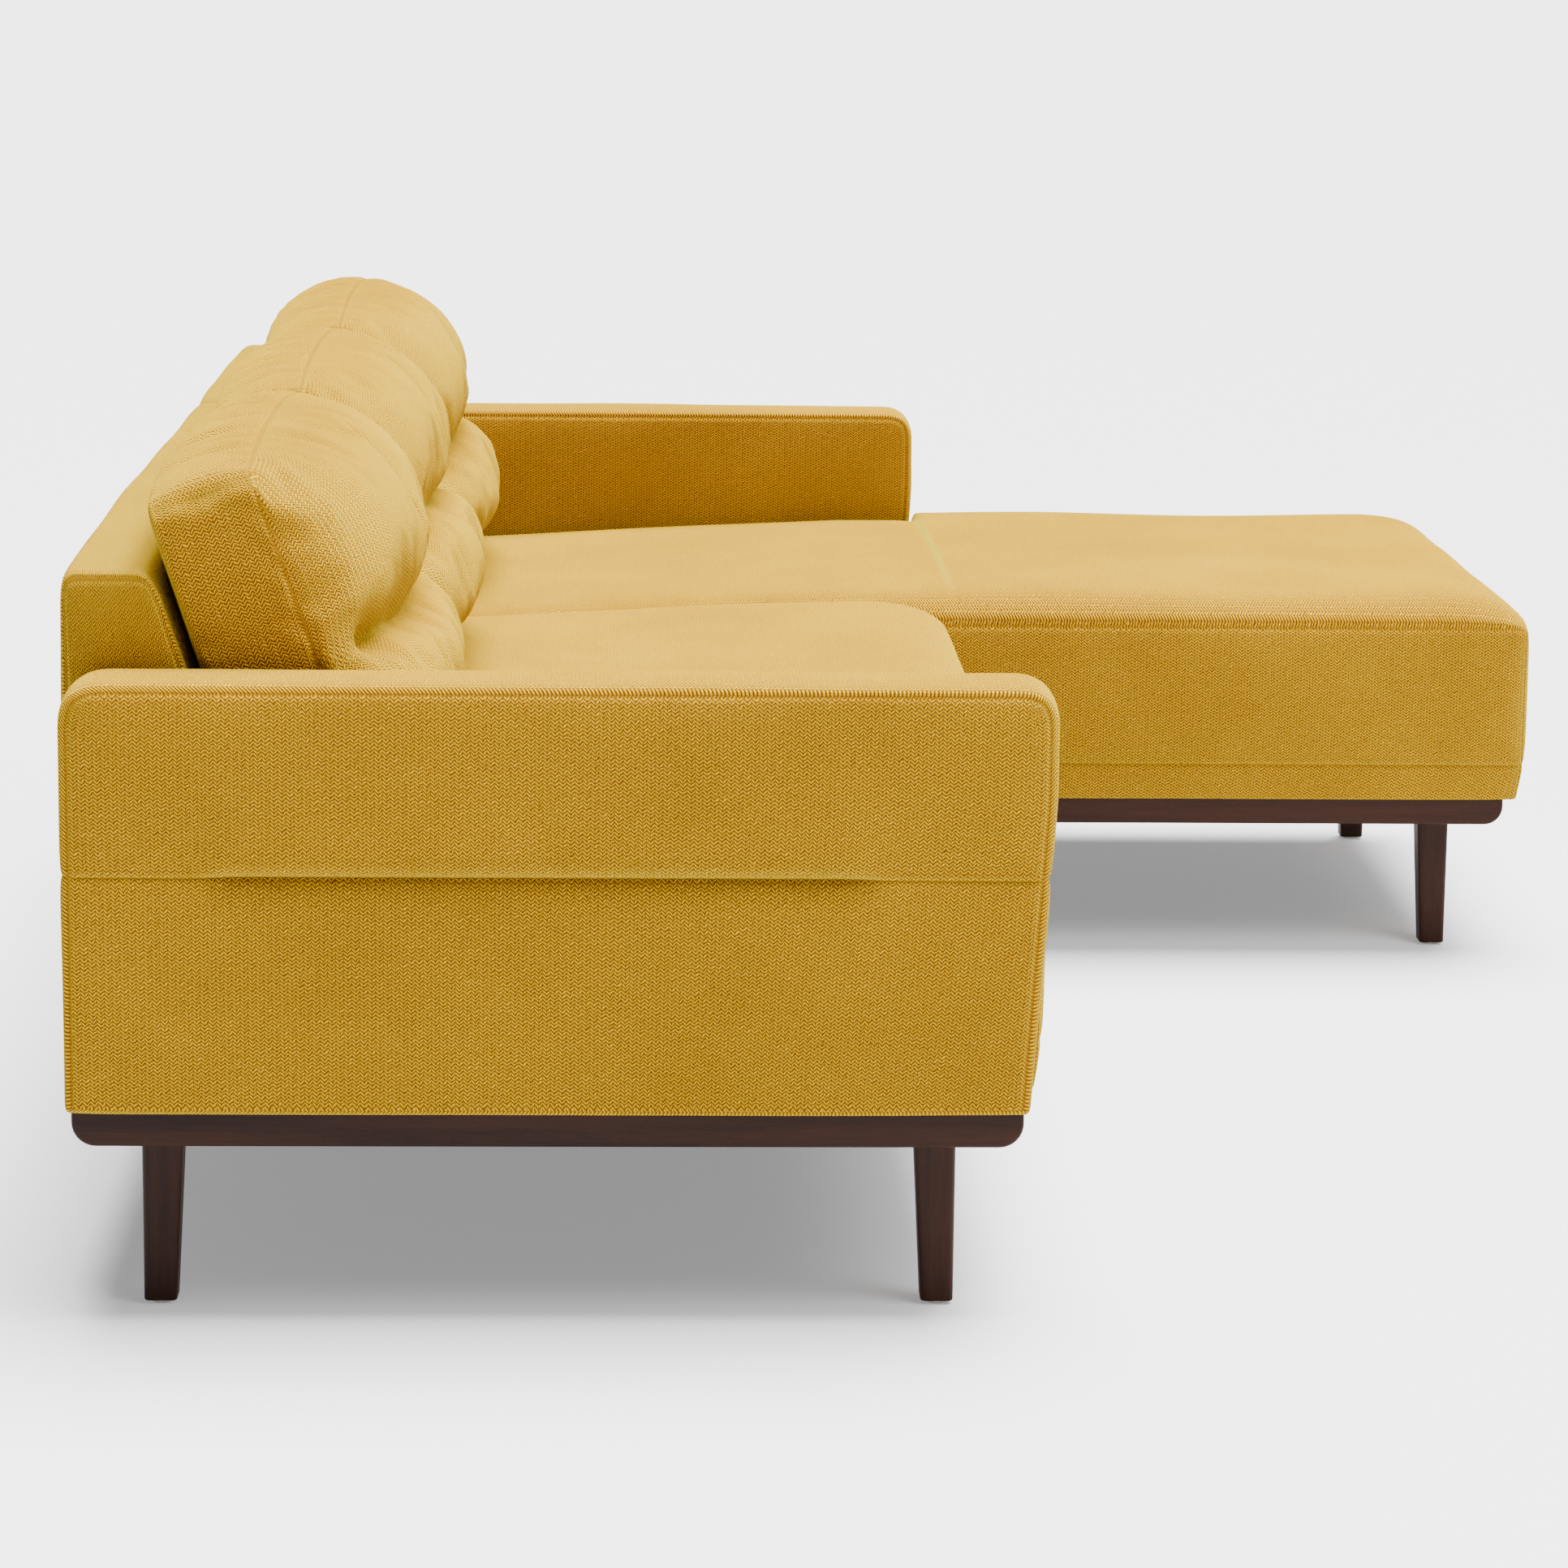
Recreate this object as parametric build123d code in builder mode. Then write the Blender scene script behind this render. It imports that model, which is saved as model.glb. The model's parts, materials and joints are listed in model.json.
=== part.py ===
"""Corner sofa with a chaise, on wooden legs: two upholstered modules and three loose cushions.

Units are millimetres. +X runs along the sofa towards the chaise, +Y towards the wall, +Z up. The origin is on
the floor, at the middle of the object's outline.
"""

import os
from collections import namedtuple
from math import cos, radians, tan

from build123d import *

# Overall size
overall_length = 2250.0
overall_depth = 1610.0
cushion_pitch = 680.0  # three back cushions stand side by side between the arms
module_gap = 3.0
arm_width = 105.0
arm_depth = 892.0
arm_height = 586.0
arm_rear_inset = 8.0  # the back stands this far behind the arms
back_height = 672.0

# Heights of the levels, from the floor up
glide_height = 3.0
rail_bottom = 161.0
rail_top = 192.0
frame_top = 233.0
deck_top = 236.0
seat_seam = 402.0
seat_crown = 442.0
seat_rear_edge = 408.0

# Plinth, legs and their fittings
rail_width = 52.0
rail_end_radius = 22.0
rail_edge_radius = 3.0
rail_inset_side = 12.0
rail_inset_rear = 9.0
rail_inset_front = 27.0
leg_top_width = 38.0
leg_foot_width = 30.0
leg_inset_side = 44.0  # from the outer faces of the plinth to a leg's
leg_inset_end = 58.0
leg_edge_radius = 5.0
leg_foot_radius = 2.0
corner_block_width = 90.0
bolt_diameter = 8.0
bolt_depth_in_leg = 38.0
nut_diameter = 12.0
nut_length = 20.0
hole_clearance = 0.2  # on the diameter
glide_diameter = 20.0

# Seat frames, springs and seats
timber = 28.0
border_thickness = 15.0
border_foot_chamfer = 8.0
wire_radius = 1.9
spring_level = 226.0
spring_half_pitch = 40.0
spring_half_width = 24.0
spring_bend_radius = 16.0
spring_spacing = 140.0
clip_length = 6.0
clip_width = 26.0
clip_height = 12.0
cloth_thickness = 1.0
skin_gap = 0.5  # between upholstered pieces that stand side by side
seat_corner_radius = 16.0
seat_nose = 60.0  # how far the front edge's curve reaches back

# Arms
arm_wall = 19.0
arm_waist_height = 483.0  # below this height the front of the arm leans back
arm_foot_tuck = 18.0
arm_front_radius = 30.0
arm_rear_radius = 34.0
arm_edge_radius = 8.0
arm_post_depth = 60.0
arm_rail_height = 40.0

# Backs
back_lean = 19.0  # degrees
back_seat_thickness = 170.0  # in front of the arms' rear faces, at the seat
back_slope_foot = 408.0  # height where the lean begins
back_wall = 17.0
back_front_radius = 24.0
back_rear_radius = 22.0
rib_thickness = 25.0
rib_spacing = 450.0
webbing_thickness = 2.0
webbing_width = 50.0
webbing_spacing = 110.0

# Loose back cushions
cushion_side_gap = 2.0
cushion_rear_gap = 6.0
cushion_seat_gap = 2.5
cushion_cover = 2.0
cushion_edge_radius = 22.0

# Connectors under the joint between the modules
plate_length = 130.0
plate_width = 60.0
plate_thickness = 3.0
pin_diameter = 10.0
pin_hole_diameter = 12.0
pin_hole_depth = 20.0
pin_height = 15.0
screw_diameter = 5.0
screw_head_diameter = 9.0
screw_head_height = 3.0
screw_depth = 20.0
screw_spacing = 36.0
connector_distances = (250.0, 650.0)  # from the arms' rear faces

x_left = -overall_length / 2
x_right = overall_length / 2
y_rear = overall_depth / 2
y_arm_rear = y_rear - arm_rear_inset
y_arm_front = y_arm_rear - arm_depth
y_chaise_front = -overall_depth / 2
y_seat_rear = y_arm_rear - back_seat_thickness
y_wide_rear = y_arm_front - module_gap  # the chaise is wider in front of this
x_joint = x_left + arm_width + 2 * cushion_pitch

# A module's arm stands from arm_low to arm_high, and its seat and back from inner_low to inner_high.
Module = namedtuple("Module", "name low high arm_low inner_low inner_high front")
sofa = Module("sofa", x_left, x_joint, x_left, x_left + arm_width, x_joint, y_arm_front)
chaise = Module(
    "chaise",
    x_joint + module_gap,
    x_right,
    x_right - arm_width,
    x_joint + module_gap,
    x_right - arm_width,
    y_chaise_front,
)


def save(piece, name):
    """Label a finished piece and write it to its own file."""
    piece.part.label = name
    export_step(piece.part, f"parts/{name}.step")


def block(x_range, y_range, z_range, mode=Mode.ADD):
    """A rectangular block between two corners, in the part in progress."""
    ranges = (x_range, y_range, z_range)
    with Locations(tuple((low + high) / 2 for low, high in ranges)):
        Box(*(high - low for low, high in ranges), mode=mode)


def even_places(low, high, spacing):
    """Places between two ends, about one spacing apart, with half a space at each end."""
    count = max(1, round((high - low) / spacing))
    step = (high - low) / count
    return [low + step * (index + 0.5) for index in range(count)]


# ---- Plinths ----


def plinth_outline(module):
    """The outer faces of a plinth: low and high X, low and high Y."""
    return (
        module.low + rail_inset_side,
        module.high - rail_inset_side,
        module.front + rail_inset_front,
        y_arm_rear - rail_inset_rear,
    )


def connector_places(x):
    return [(x, y_arm_rear - distance) for distance in connector_distances]


def screw_places():
    x = sofa.high - rail_inset_side - rail_width / 2
    return [(x, y + way * screw_spacing / 2) for x, y in connector_places(x) for way in (-1, 1)]


def pin_places():
    return connector_places(chaise.low + rail_inset_side + rail_width / 2)


def drill_from_below(places, diameter, depth):
    """Blind holes in the underside of the plinth, in the part in progress."""
    with Locations(*((x, y, rail_bottom) for x, y in places)):
        Cylinder(diameter / 2, 2 * depth, mode=Mode.SUBTRACT)


def side_rail(module, side):
    """A rail that runs from front to rear, rounded under both ends."""
    x_low, x_high, y_low, y_high = plinth_outline(module)
    x_start, x_outer = (x_low, x_low) if side == "left" else (x_high - rail_width, x_high)
    with BuildPart() as rail:
        with BuildSketch(Plane.YZ.offset(x_start)) as profile:
            with Locations(((y_low + y_high) / 2, (rail_bottom + rail_top) / 2)):
                Rectangle(y_high - y_low, rail_top - rail_bottom)
            fillet(profile.vertices().group_by(Axis.Y)[0], rail_end_radius)
        extrude(amount=rail_width)
        long_edges = rail.edges().filter_by(Axis.Y).group_by(Axis.Z)[0]
        fillet(long_edges.sort_by(lambda edge: abs(edge.center().X - x_outer))[0], rail_edge_radius)
        if module is sofa and side == "right":
            drill_from_below(screw_places(), screw_diameter + hole_clearance, screw_depth)
        if module is chaise and side == "left":
            drill_from_below(pin_places(), pin_hole_diameter, pin_hole_depth)
    save(rail, f"{module.name}_plinth_{side}")


def cross_rail(module, end):
    """A rail between the two side rails, with its lower outer edge rounded as their ends are."""
    x_low, x_high, y_low, y_high = plinth_outline(module)
    y_start = y_low if end == "front" else y_high - rail_width
    with BuildPart() as rail:
        with BuildSketch(Plane.YZ.offset(x_low + rail_width)) as profile:
            with Locations((y_start + rail_width / 2, (rail_bottom + rail_top) / 2)):
                Rectangle(rail_width, rail_top - rail_bottom)
            lower = profile.vertices().group_by(Axis.Y)[0].sort_by(Axis.X)
            fillet(lower[0 if end == "front" else -1], rail_end_radius)
        extrude(amount=x_high - x_low - 2 * rail_width)
    save(rail, f"{module.name}_plinth_{end}")


# ---- Legs ----


def leg_places(module):
    """Each leg's name, its axis at the top, and which way its two upright faces look."""
    x_low, x_high, y_low, y_high = plinth_outline(module)
    x_reach = leg_inset_side + leg_top_width / 2
    y_reach = leg_inset_end + leg_top_width / 2
    return [
        (f"{end}_{side}", x, y, x_way, y_way)
        for end, y, y_way in (("front", y_low + y_reach, -1), ("rear", y_high - y_reach, 1))
        for side, x, x_way in (("left", x_low + x_reach, -1), ("right", x_high - x_reach, 1))
    ]


def foot_centre(x, y, x_way, y_way):
    """The middle of a leg's foot: the leg tapers on its inner faces only."""
    shift = (leg_top_width - leg_foot_width) / 2
    return x + x_way * shift, y + y_way * shift


def leg(module, name, x, y, x_way, y_way):
    """A square tapered leg. A blind hole in its top takes the hanger bolt."""
    with BuildPart() as post:
        with BuildSketch(Plane.XY.offset(rail_bottom)):
            with Locations((x, y)):
                Rectangle(leg_top_width, leg_top_width)
        with BuildSketch(Plane.XY.offset(glide_height)):
            with Locations(foot_centre(x, y, x_way, y_way)):
                Rectangle(leg_foot_width, leg_foot_width)
        loft()
        fillet(post.edges().filter_by(lambda edge: edge.length > 2 * leg_top_width), leg_edge_radius)
        fillet(post.faces().sort_by(Axis.Z)[0].edges(), leg_foot_radius)
        with Locations((x, y, rail_bottom)):
            Cylinder((bolt_diameter + hole_clearance) / 2, 2 * bolt_depth_in_leg, mode=Mode.SUBTRACT)
    save(post, f"{module.name}_leg_{name}")


def leg_fittings(module):
    """The corner blocks, insert nuts, hanger bolts and glides of a module, each kind in one group."""
    axes = [(x, y) for _, x, y, _, _ in leg_places(module)]
    x_low, x_high, y_low, y_high = plinth_outline(module)
    reach = rail_width + corner_block_width / 2
    corners = [(x, y) for x in (x_low + reach, x_high - reach) for y in (y_low + reach, y_high - reach)]
    with BuildPart() as corner_blocks:
        with BuildSketch(Plane.XY.offset(rail_bottom)):
            with Locations(*corners):
                Rectangle(corner_block_width, corner_block_width)
        extrude(amount=rail_top - cloth_thickness - rail_bottom)
        drill_from_below(axes, nut_diameter + hole_clearance, nut_length + hole_clearance)
    save(corner_blocks, f"{module.name}_corner_blocks")

    with BuildPart() as insert_nuts:
        with BuildSketch(Plane.XY.offset(rail_bottom)):
            with Locations(*axes):
                Circle(nut_diameter / 2)
                Circle((bolt_diameter + hole_clearance) / 2, mode=Mode.SUBTRACT)
        extrude(amount=nut_length)
    save(insert_nuts, f"{module.name}_insert_nuts")

    with BuildPart() as leg_bolts:
        with BuildSketch(Plane.XY.offset(rail_bottom - bolt_depth_in_leg)):
            with Locations(*axes):
                Circle(bolt_diameter / 2)
        extrude(amount=bolt_depth_in_leg + nut_length)
    save(leg_bolts, f"{module.name}_leg_bolts")

    with BuildPart() as glides:
        with BuildSketch():
            with Locations(*(foot_centre(*place[1:]) for place in leg_places(module))):
                Circle(glide_diameter / 2)
        extrude(amount=glide_height)
    save(glides, f"{module.name}_leg_glides")


# ---- Seat frames ----


def frame_members(module):
    """The seat frame's timbers, each as its X range and its Y range."""
    front = module.front + border_thickness
    inner_y = (front + timber, y_seat_rear - timber)
    if module is sofa:
        low, high = module.inner_low, module.inner_high - skin_gap
        middle = (low + high) / 2
        return {
            "front": ((low, high), (front, front + timber)),
            "rear": ((low, high), (y_seat_rear - timber, y_seat_rear)),
            "left": ((low, low + timber), inner_y),
            "right": ((high - timber, high), inner_y),
            "centre": ((middle - timber / 2, middle + timber / 2), inner_y),
        }
    low = module.low + border_thickness
    high = module.inner_high
    wide = module.high - border_thickness
    return {
        "front": ((low, wide), (front, front + timber)),
        "rear": ((low, high), (y_seat_rear - timber, y_seat_rear)),
        "left": ((low, low + timber), inner_y),
        "cross": ((low + timber, wide), (y_wide_rear - timber, y_wide_rear)),
        "right_rear": ((high - timber, high), (y_wide_rear, y_seat_rear - timber)),
        "right_front": ((wide - timber, wide), (front + timber, y_wide_rear - timber)),
    }


def seat_frame(module):
    with BuildPart() as frame:
        for x_range, y_range in frame_members(module).values():
            block(x_range, y_range, (rail_top, frame_top))
    save(frame, f"{module.name}_seat_frame")


def zigzag_spring(span):
    """One flat zigzag spring, from 0 to its span along X."""
    turns = int(span // spring_half_pitch) - 1
    margin = (span - turns * spring_half_pitch) / 2
    points = [(0, 0), (margin, 0)]
    for turn in range(turns):
        way = 1 if turn % 2 else -1
        start = margin + turn * spring_half_pitch
        points += [(start, way * spring_half_width), (start + spring_half_pitch, way * spring_half_width)]
    points += [(span - margin, 0), (span, 0)]
    with BuildPart() as spring:
        with BuildLine() as path:
            FilletPolyline(*points, radius=spring_bend_radius)
        with BuildSketch(Plane.YZ):
            Circle(wire_radius)
        sweep(path=path.line)
    return spring.part


def spring_runs(module):
    """Each spring's start point, its span between timbers, and its direction in degrees."""
    members = frame_members(module)
    front_y = members["front"][1][1]
    if module is sofa:
        span = members["rear"][1][0] - front_y
        bays = (("left", "centre"), ("centre", "right"))
        return [
            ((x, front_y), span, 90.0)
            for low, high in bays
            for x in even_places(members[low][0][1], members[high][0][0], spring_spacing)
        ]
    start_x = members["left"][0][1]
    bays = (
        (front_y, members["cross"][1][0], members["right_front"][0][0]),
        (members["cross"][1][1], members["rear"][1][0], members["right_rear"][0][0]),
    )
    return [
        ((start_x, y), end_x - start_x, 0.0)
        for low, high, end_x in bays
        for y in even_places(low, high, spring_spacing)
    ]


def springs(module):
    """The springs, and the clips that hold their ends to the timbers."""
    runs = spring_runs(module)
    shapes = {span: zigzag_spring(span - 2 * clip_length) for span in {run[1] for run in runs}}
    with BuildPart() as seat_springs:
        for span, shape in shapes.items():
            with Locations(
                *(
                    Location((*start, spring_level), (0, 0, turn)) * Location((clip_length, 0, 0))
                    for start, length, turn in runs
                    if length == span
                )
            ):
                add(shape)
    save(seat_springs, f"{module.name}_seat_springs")

    with BuildPart() as clips:
        with Locations(
            *(
                Location((*start, spring_level), (0, 0, turn)) * Location((along, 0, 0))
                for start, span, turn in runs
                for along in (clip_length / 2, span - clip_length / 2)
            )
        ):
            Box(clip_length, clip_width, clip_height)
    save(clips, f"{module.name}_spring_clips")


# ---- Seats ----


def seat_plan(module, margin):
    """The seat's outline, drawn in the sketch in progress. The chaise's is wider in front of its arm."""
    low, front = module.inner_low + margin, module.front + margin
    rectangles = [(low, front, module.inner_high - margin, y_seat_rear - margin)]
    if module is chaise:
        rectangles.append((low, front, module.high - margin, y_wide_rear - margin))
    for x_low, y_low, x_high, y_high in rectangles:
        with Locations(((x_low + x_high) / 2, (y_low + y_high) / 2)):
            Rectangle(x_high - x_low, y_high - y_low)


def seat_deck(module):
    """The felt over the springs."""
    with BuildPart() as deck:
        with BuildSketch(Plane.XY.offset(frame_top)):
            seat_plan(module, border_thickness)
        extrude(amount=deck_top - frame_top)
    save(deck, f"{module.name}_seat_deck")


def seat_core(module):
    """The foam block."""
    with BuildPart() as core:
        with BuildSketch(Plane.XY.offset(deck_top)) as plan:
            seat_plan(module, skin_gap)
            fillet(plan.vertices().group_by(Axis.Y)[0], seat_corner_radius)
        extrude(amount=seat_seam - deck_top)
    save(core, f"{module.name}_seat_core")


def seat_topper(module):
    """The crowned wrap on the foam: level on the chaise's front, and falling towards the back."""
    front = module.front + skin_gap
    crown_end = y_arm_front + skin_gap + seat_nose
    with BuildPart() as topper:
        with BuildSketch(Plane.XY.offset(seat_seam)) as plan:
            seat_plan(module, skin_gap)
            fillet(plan.vertices().group_by(Axis.Y)[0], seat_corner_radius)
        extrude(amount=seat_crown - seat_seam)
        with BuildSketch(Plane.YZ.offset(module.low)):
            with BuildLine():
                Polyline(
                    (front, seat_seam),
                    (y_seat_rear, seat_seam),
                    (y_seat_rear, seat_rear_edge),
                    (crown_end, seat_crown),
                )
                if module is chaise:
                    Line((crown_end, seat_crown), (front + seat_nose, seat_crown))
                ThreePointArc(
                    (front + seat_nose, seat_crown),
                    (front + 0.29 * seat_nose, seat_seam + 0.71 * (seat_crown - seat_seam)),
                    (front, seat_seam),
                )
            make_face()
        extrude(amount=module.high - module.low, mode=Mode.INTERSECT)
    save(topper, f"{module.name}_seat_topper")


def base_border(module):
    """The padded strips round the foot of the seat, above the plinth."""
    z_range = (rail_top, frame_top)
    front = (module.front, module.front + border_thickness)
    with BuildPart() as border:
        if module is sofa:
            block((module.inner_low, module.high), front, z_range)
        else:
            block((module.low, module.high), front, z_range)
            block((module.low, module.low + border_thickness), (front[1], y_seat_rear), z_range)
            block((module.high - border_thickness, module.high), (front[1], y_wide_rear), z_range)
            fillet(border.edges().filter_by(Axis.Z).group_by(Axis.Y)[0], border_thickness - 1.0)
        foot_edge = border.faces().sort_by(Axis.Z)[0].edges().filter_by(Axis.X).sort_by(Axis.Y)[0]
        chamfer(foot_edge, border_foot_chamfer)
    save(border, f"{module.name}_base_border")


def dust_cover(module):
    """The black cloth under the springs, inside the plinth."""
    x_low, x_high, y_low, y_high = plinth_outline(module)
    with BuildPart() as cloth:
        with BuildSketch(Plane.XY.offset(rail_top - cloth_thickness)):
            with Locations(((x_low + x_high) / 2, (y_low + y_high) / 2)):
                Rectangle(x_high - x_low - 2 * rail_width, y_high - y_low - 2 * rail_width)
        extrude(amount=cloth_thickness)
    save(cloth, f"{module.name}_dust_cover")


# ---- Arms ----

arm_cavity_y = (y_arm_front + arm_foot_tuck + arm_wall, y_arm_rear - arm_wall)
arm_cavity_z = (rail_top, arm_height - arm_wall)


def arm_padding(module):
    """An arm's padded case, open underneath: upright, with the foot of its front leaning back."""
    with BuildPart() as padding:
        with BuildSketch(Plane.YZ.offset(module.arm_low)) as profile:
            with BuildLine():
                Polyline(
                    (y_arm_rear, rail_top),
                    (y_arm_rear, arm_height),
                    (y_arm_front, arm_height),
                    (y_arm_front, arm_waist_height),
                    (y_arm_front + arm_foot_tuck, rail_top),
                    close=True,
                )
            make_face()
            top_front, top_rear = profile.vertices().group_by(Axis.Y)[-1].sort_by(Axis.X)
            fillet(top_front, arm_front_radius)
            fillet(top_rear, arm_rear_radius)
        extrude(amount=arm_width)
        sides = padding.faces().filter_by(Plane.YZ)
        rim = sides.edges().filter_by(lambda edge: edge.center().Z > arm_waist_height + arm_edge_radius)
        fillet(rim, arm_edge_radius)
        cavity_x = (module.arm_low + arm_wall, module.arm_low + arm_width - arm_wall)
        block(cavity_x, arm_cavity_y, arm_cavity_z, mode=Mode.SUBTRACT)
    save(padding, f"{module.name}_arm_padding")


def arm_frame(module):
    """Three posts in an arm, with a bottom rail, a tacking rail and a top rail between them."""
    x_range = (module.arm_low + arm_wall, module.arm_low + arm_width - arm_wall)
    y_low, y_high = arm_cavity_y
    z_low, z_high = arm_cavity_z
    middle = (y_low + y_high) / 2
    posts = [
        (y_low, y_low + arm_post_depth),
        (middle - arm_post_depth / 2, middle + arm_post_depth / 2),
        (y_high - arm_post_depth, y_high),
    ]
    rails = [
        (z_low, z_low + arm_rail_height),
        (seat_seam - arm_rail_height / 2, seat_seam + arm_rail_height / 2),
        (z_high - arm_rail_height, z_high),
    ]
    with BuildPart() as frame:
        for post in posts:
            block(x_range, post, arm_cavity_z)
        for (_, bay_low), (bay_high, _) in zip(posts, posts[1:]):
            for rail in rails:
                block(x_range, (bay_low, bay_high), rail)
    save(frame, f"{module.name}_arm_frame")


# ---- Backs ----


def back_front(height, inset=0.0):
    """Y of the back's leaning front face at a height, moved inwards by an inset."""
    lean = radians(back_lean)
    return y_seat_rear + (height - back_slope_foot) * tan(lean) + inset / cos(lean)


def back_outline(inset):
    """The corners of the back's outline from the side: a wedge, open at the foot."""
    top = back_height - inset
    lean = radians(back_lean)
    knee = back_slope_foot + inset * (1 - 1 / cos(lean)) / tan(lean)
    return (
        (y_rear - inset, rail_top),
        (y_rear - inset, top),
        (back_front(top, inset), top),
        (y_seat_rear + inset, knee),
        (y_seat_rear + inset, rail_top),
    )


def leaning_strip(inset, thickness, z_low, z_high):
    """The corners of a strip along the inside of the leaning face, from the side."""
    return (
        (back_front(z_low, inset), z_low),
        (back_front(z_low, inset + thickness), z_low),
        (back_front(z_high, inset + thickness), z_high),
        (back_front(z_high, inset), z_high),
    )


def back_padding(module):
    """The back's padded case, with its outer top edges rounded."""
    with BuildPart() as padding:
        with BuildSketch(Plane.YZ.offset(module.inner_low)) as profile:
            Polygon(*back_outline(0.0), align=None)
            top_front, top_rear = profile.vertices().group_by(Axis.Y)[-1].sort_by(Axis.X)
            fillet(top_front, back_front_radius)
            fillet(top_rear, back_rear_radius)
        extrude(amount=module.inner_high - module.inner_low)
        with BuildSketch(Plane.YZ.offset(module.inner_low + back_wall)):
            Polygon(*back_outline(back_wall), align=None)
        extrude(amount=module.inner_high - module.inner_low - 2 * back_wall, mode=Mode.SUBTRACT)
    save(padding, f"{module.name}_back_padding")


def back_frame(module):
    """Wedge ribs across the back, with a foot rail, a tacking rail and a top rail between them."""
    low, high = module.inner_low + back_wall, module.inner_high - back_wall
    bays = max(1, round((high - low) / rib_spacing))
    pitch = (high - low - rib_thickness) / bays
    rib_inset = back_wall + webbing_thickness
    top = back_height - rib_inset
    with BuildPart() as frame:
        for index in range(bays + 1):
            with BuildSketch(Plane.YZ.offset(low + index * pitch)):
                Polygon(*back_outline(rib_inset), align=None)
            extrude(amount=rib_thickness)
        for index in range(bays):
            with BuildSketch(Plane.YZ.offset(low + index * pitch + rib_thickness)):
                for foot in (top - arm_rail_height, back_slope_foot):
                    Polygon(*leaning_strip(rib_inset, timber, foot, foot + arm_rail_height), align=None)
                with Locations((y_rear - rib_inset - timber / 2, rail_top + arm_rail_height / 2)):
                    Rectangle(timber, arm_rail_height)
            extrude(amount=pitch - rib_thickness)
    save(frame, f"{module.name}_back_frame")


def back_webbing(module):
    """Upright elastic straps on the leaning face, from the tacking rail to the top rail."""
    with BuildPart() as webbing:
        for x in even_places(module.inner_low + back_wall, module.inner_high - back_wall, webbing_spacing):
            with BuildSketch(Plane.YZ.offset(x - webbing_width / 2)):
                top = back_height - back_wall - webbing_thickness
                Polygon(*leaning_strip(back_wall, webbing_thickness, back_slope_foot, top), align=None)
            extrude(amount=webbing_width)
    save(webbing, f"{module.name}_back_webbing")


# ---- Loose back cushions ----


def seat_height(distance):
    """Height of the seat at a distance in front of the arms' rear faces."""
    fall = (seat_crown - seat_rear_edge) / (arm_depth - seat_nose - back_seat_thickness)
    return seat_rear_edge + fall * (distance - back_seat_thickness)


def cushion_section():
    """A cushion from the side, drawn in the sketch in progress: flat behind, with a full crown in front."""
    toe_distance = 318.0
    heel = back_slope_foot + cushion_seat_gap + 2.0
    shoulder = back_height + 16.0
    front = (  # distances in front of the arms' rear faces, and heights, from the top down
        (82.0, 730.0),
        (122.0, 782.0),
        (216.0, 787.0),
        (290.0, 698.0),
        (300.0, 608.0),
        (346.0, 508.0),
        (346.0, 448.0),
    )
    with BuildSketch(mode=Mode.PRIVATE) as section:
        Polygon(
            (y_arm_rear - toe_distance, seat_height(toe_distance) + cushion_seat_gap),
            (back_front(heel, -cushion_rear_gap), heel),
            (back_front(shoulder, -cushion_rear_gap), shoulder),
            *((y_arm_rear - distance, height) for distance, height in front),
            align=None,
        )
        fillet(section.vertices().filter_by(lambda v: v.Y > heel + 1.0), cushion_edge_radius)
    return section.sketch


def back_cushion(name, x_low, x_high):
    """A loose cushion: its cover, and the filling inside it."""
    section = cushion_section()
    with BuildPart() as cover:
        with BuildSketch(Plane.YZ.offset(x_low)):
            add(section)
        extrude(amount=x_high - x_low)
        with BuildSketch(Plane.YZ.offset(x_low + cushion_cover)):
            add(section)
            offset(amount=-cushion_cover, mode=Mode.REPLACE)
        extrude(amount=x_high - x_low - 2 * cushion_cover, mode=Mode.SUBTRACT)
    save(cover, f"{name}_cover")

    with BuildPart() as filling:
        with BuildSketch(Plane.YZ.offset(x_low + cushion_cover)):
            add(section)
            offset(amount=-cushion_cover, mode=Mode.REPLACE)
        extrude(amount=x_high - x_low - 2 * cushion_cover)
    save(filling, f"{name}_filling")


# ---- Connectors between the modules ----


def connectors():
    """Plates screwed under the sofa module. Their pins stand in blind holes of the chaise's plinth."""
    x_middle = sofa.high + module_gap / 2
    with BuildPart() as plates:
        with BuildSketch(Plane.XY.offset(rail_bottom - plate_thickness)):
            with Locations(*connector_places(x_middle)):
                Rectangle(plate_length, plate_width)
            with Locations(*screw_places()):
                Circle((screw_diameter + hole_clearance) / 2, mode=Mode.SUBTRACT)
        extrude(amount=plate_thickness)
        with BuildSketch(Plane.XY.offset(rail_bottom)):
            with Locations(*pin_places()):
                Circle(pin_diameter / 2)
        extrude(amount=pin_height)
    save(plates, "connector_plates")

    with BuildPart() as screws:
        with BuildSketch(Plane.XY.offset(rail_bottom - plate_thickness - screw_head_height)):
            with Locations(*screw_places()):
                Circle(screw_head_diameter / 2)
        extrude(amount=screw_head_height)
        with BuildSketch(Plane.XY.offset(rail_bottom - plate_thickness)):
            with Locations(*screw_places()):
                Circle(screw_diameter / 2)
        extrude(amount=plate_thickness + screw_depth - 1.0)
    save(screws, "connector_screws")


os.makedirs("parts", exist_ok=True)

for unit in (sofa, chaise):
    for rail_side in ("left", "right"):
        side_rail(unit, rail_side)
    for rail_place in ("front", "rear"):
        cross_rail(unit, rail_place)
    for leg_place in leg_places(unit):
        leg(unit, *leg_place)
    leg_fittings(unit)
    seat_frame(unit)
    springs(unit)
    seat_deck(unit)
    seat_core(unit)
    seat_topper(unit)
    base_border(unit)
    dust_cover(unit)
    arm_padding(unit)
    arm_frame(unit)
    back_padding(unit)
    back_frame(unit)
    back_webbing(unit)

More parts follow.
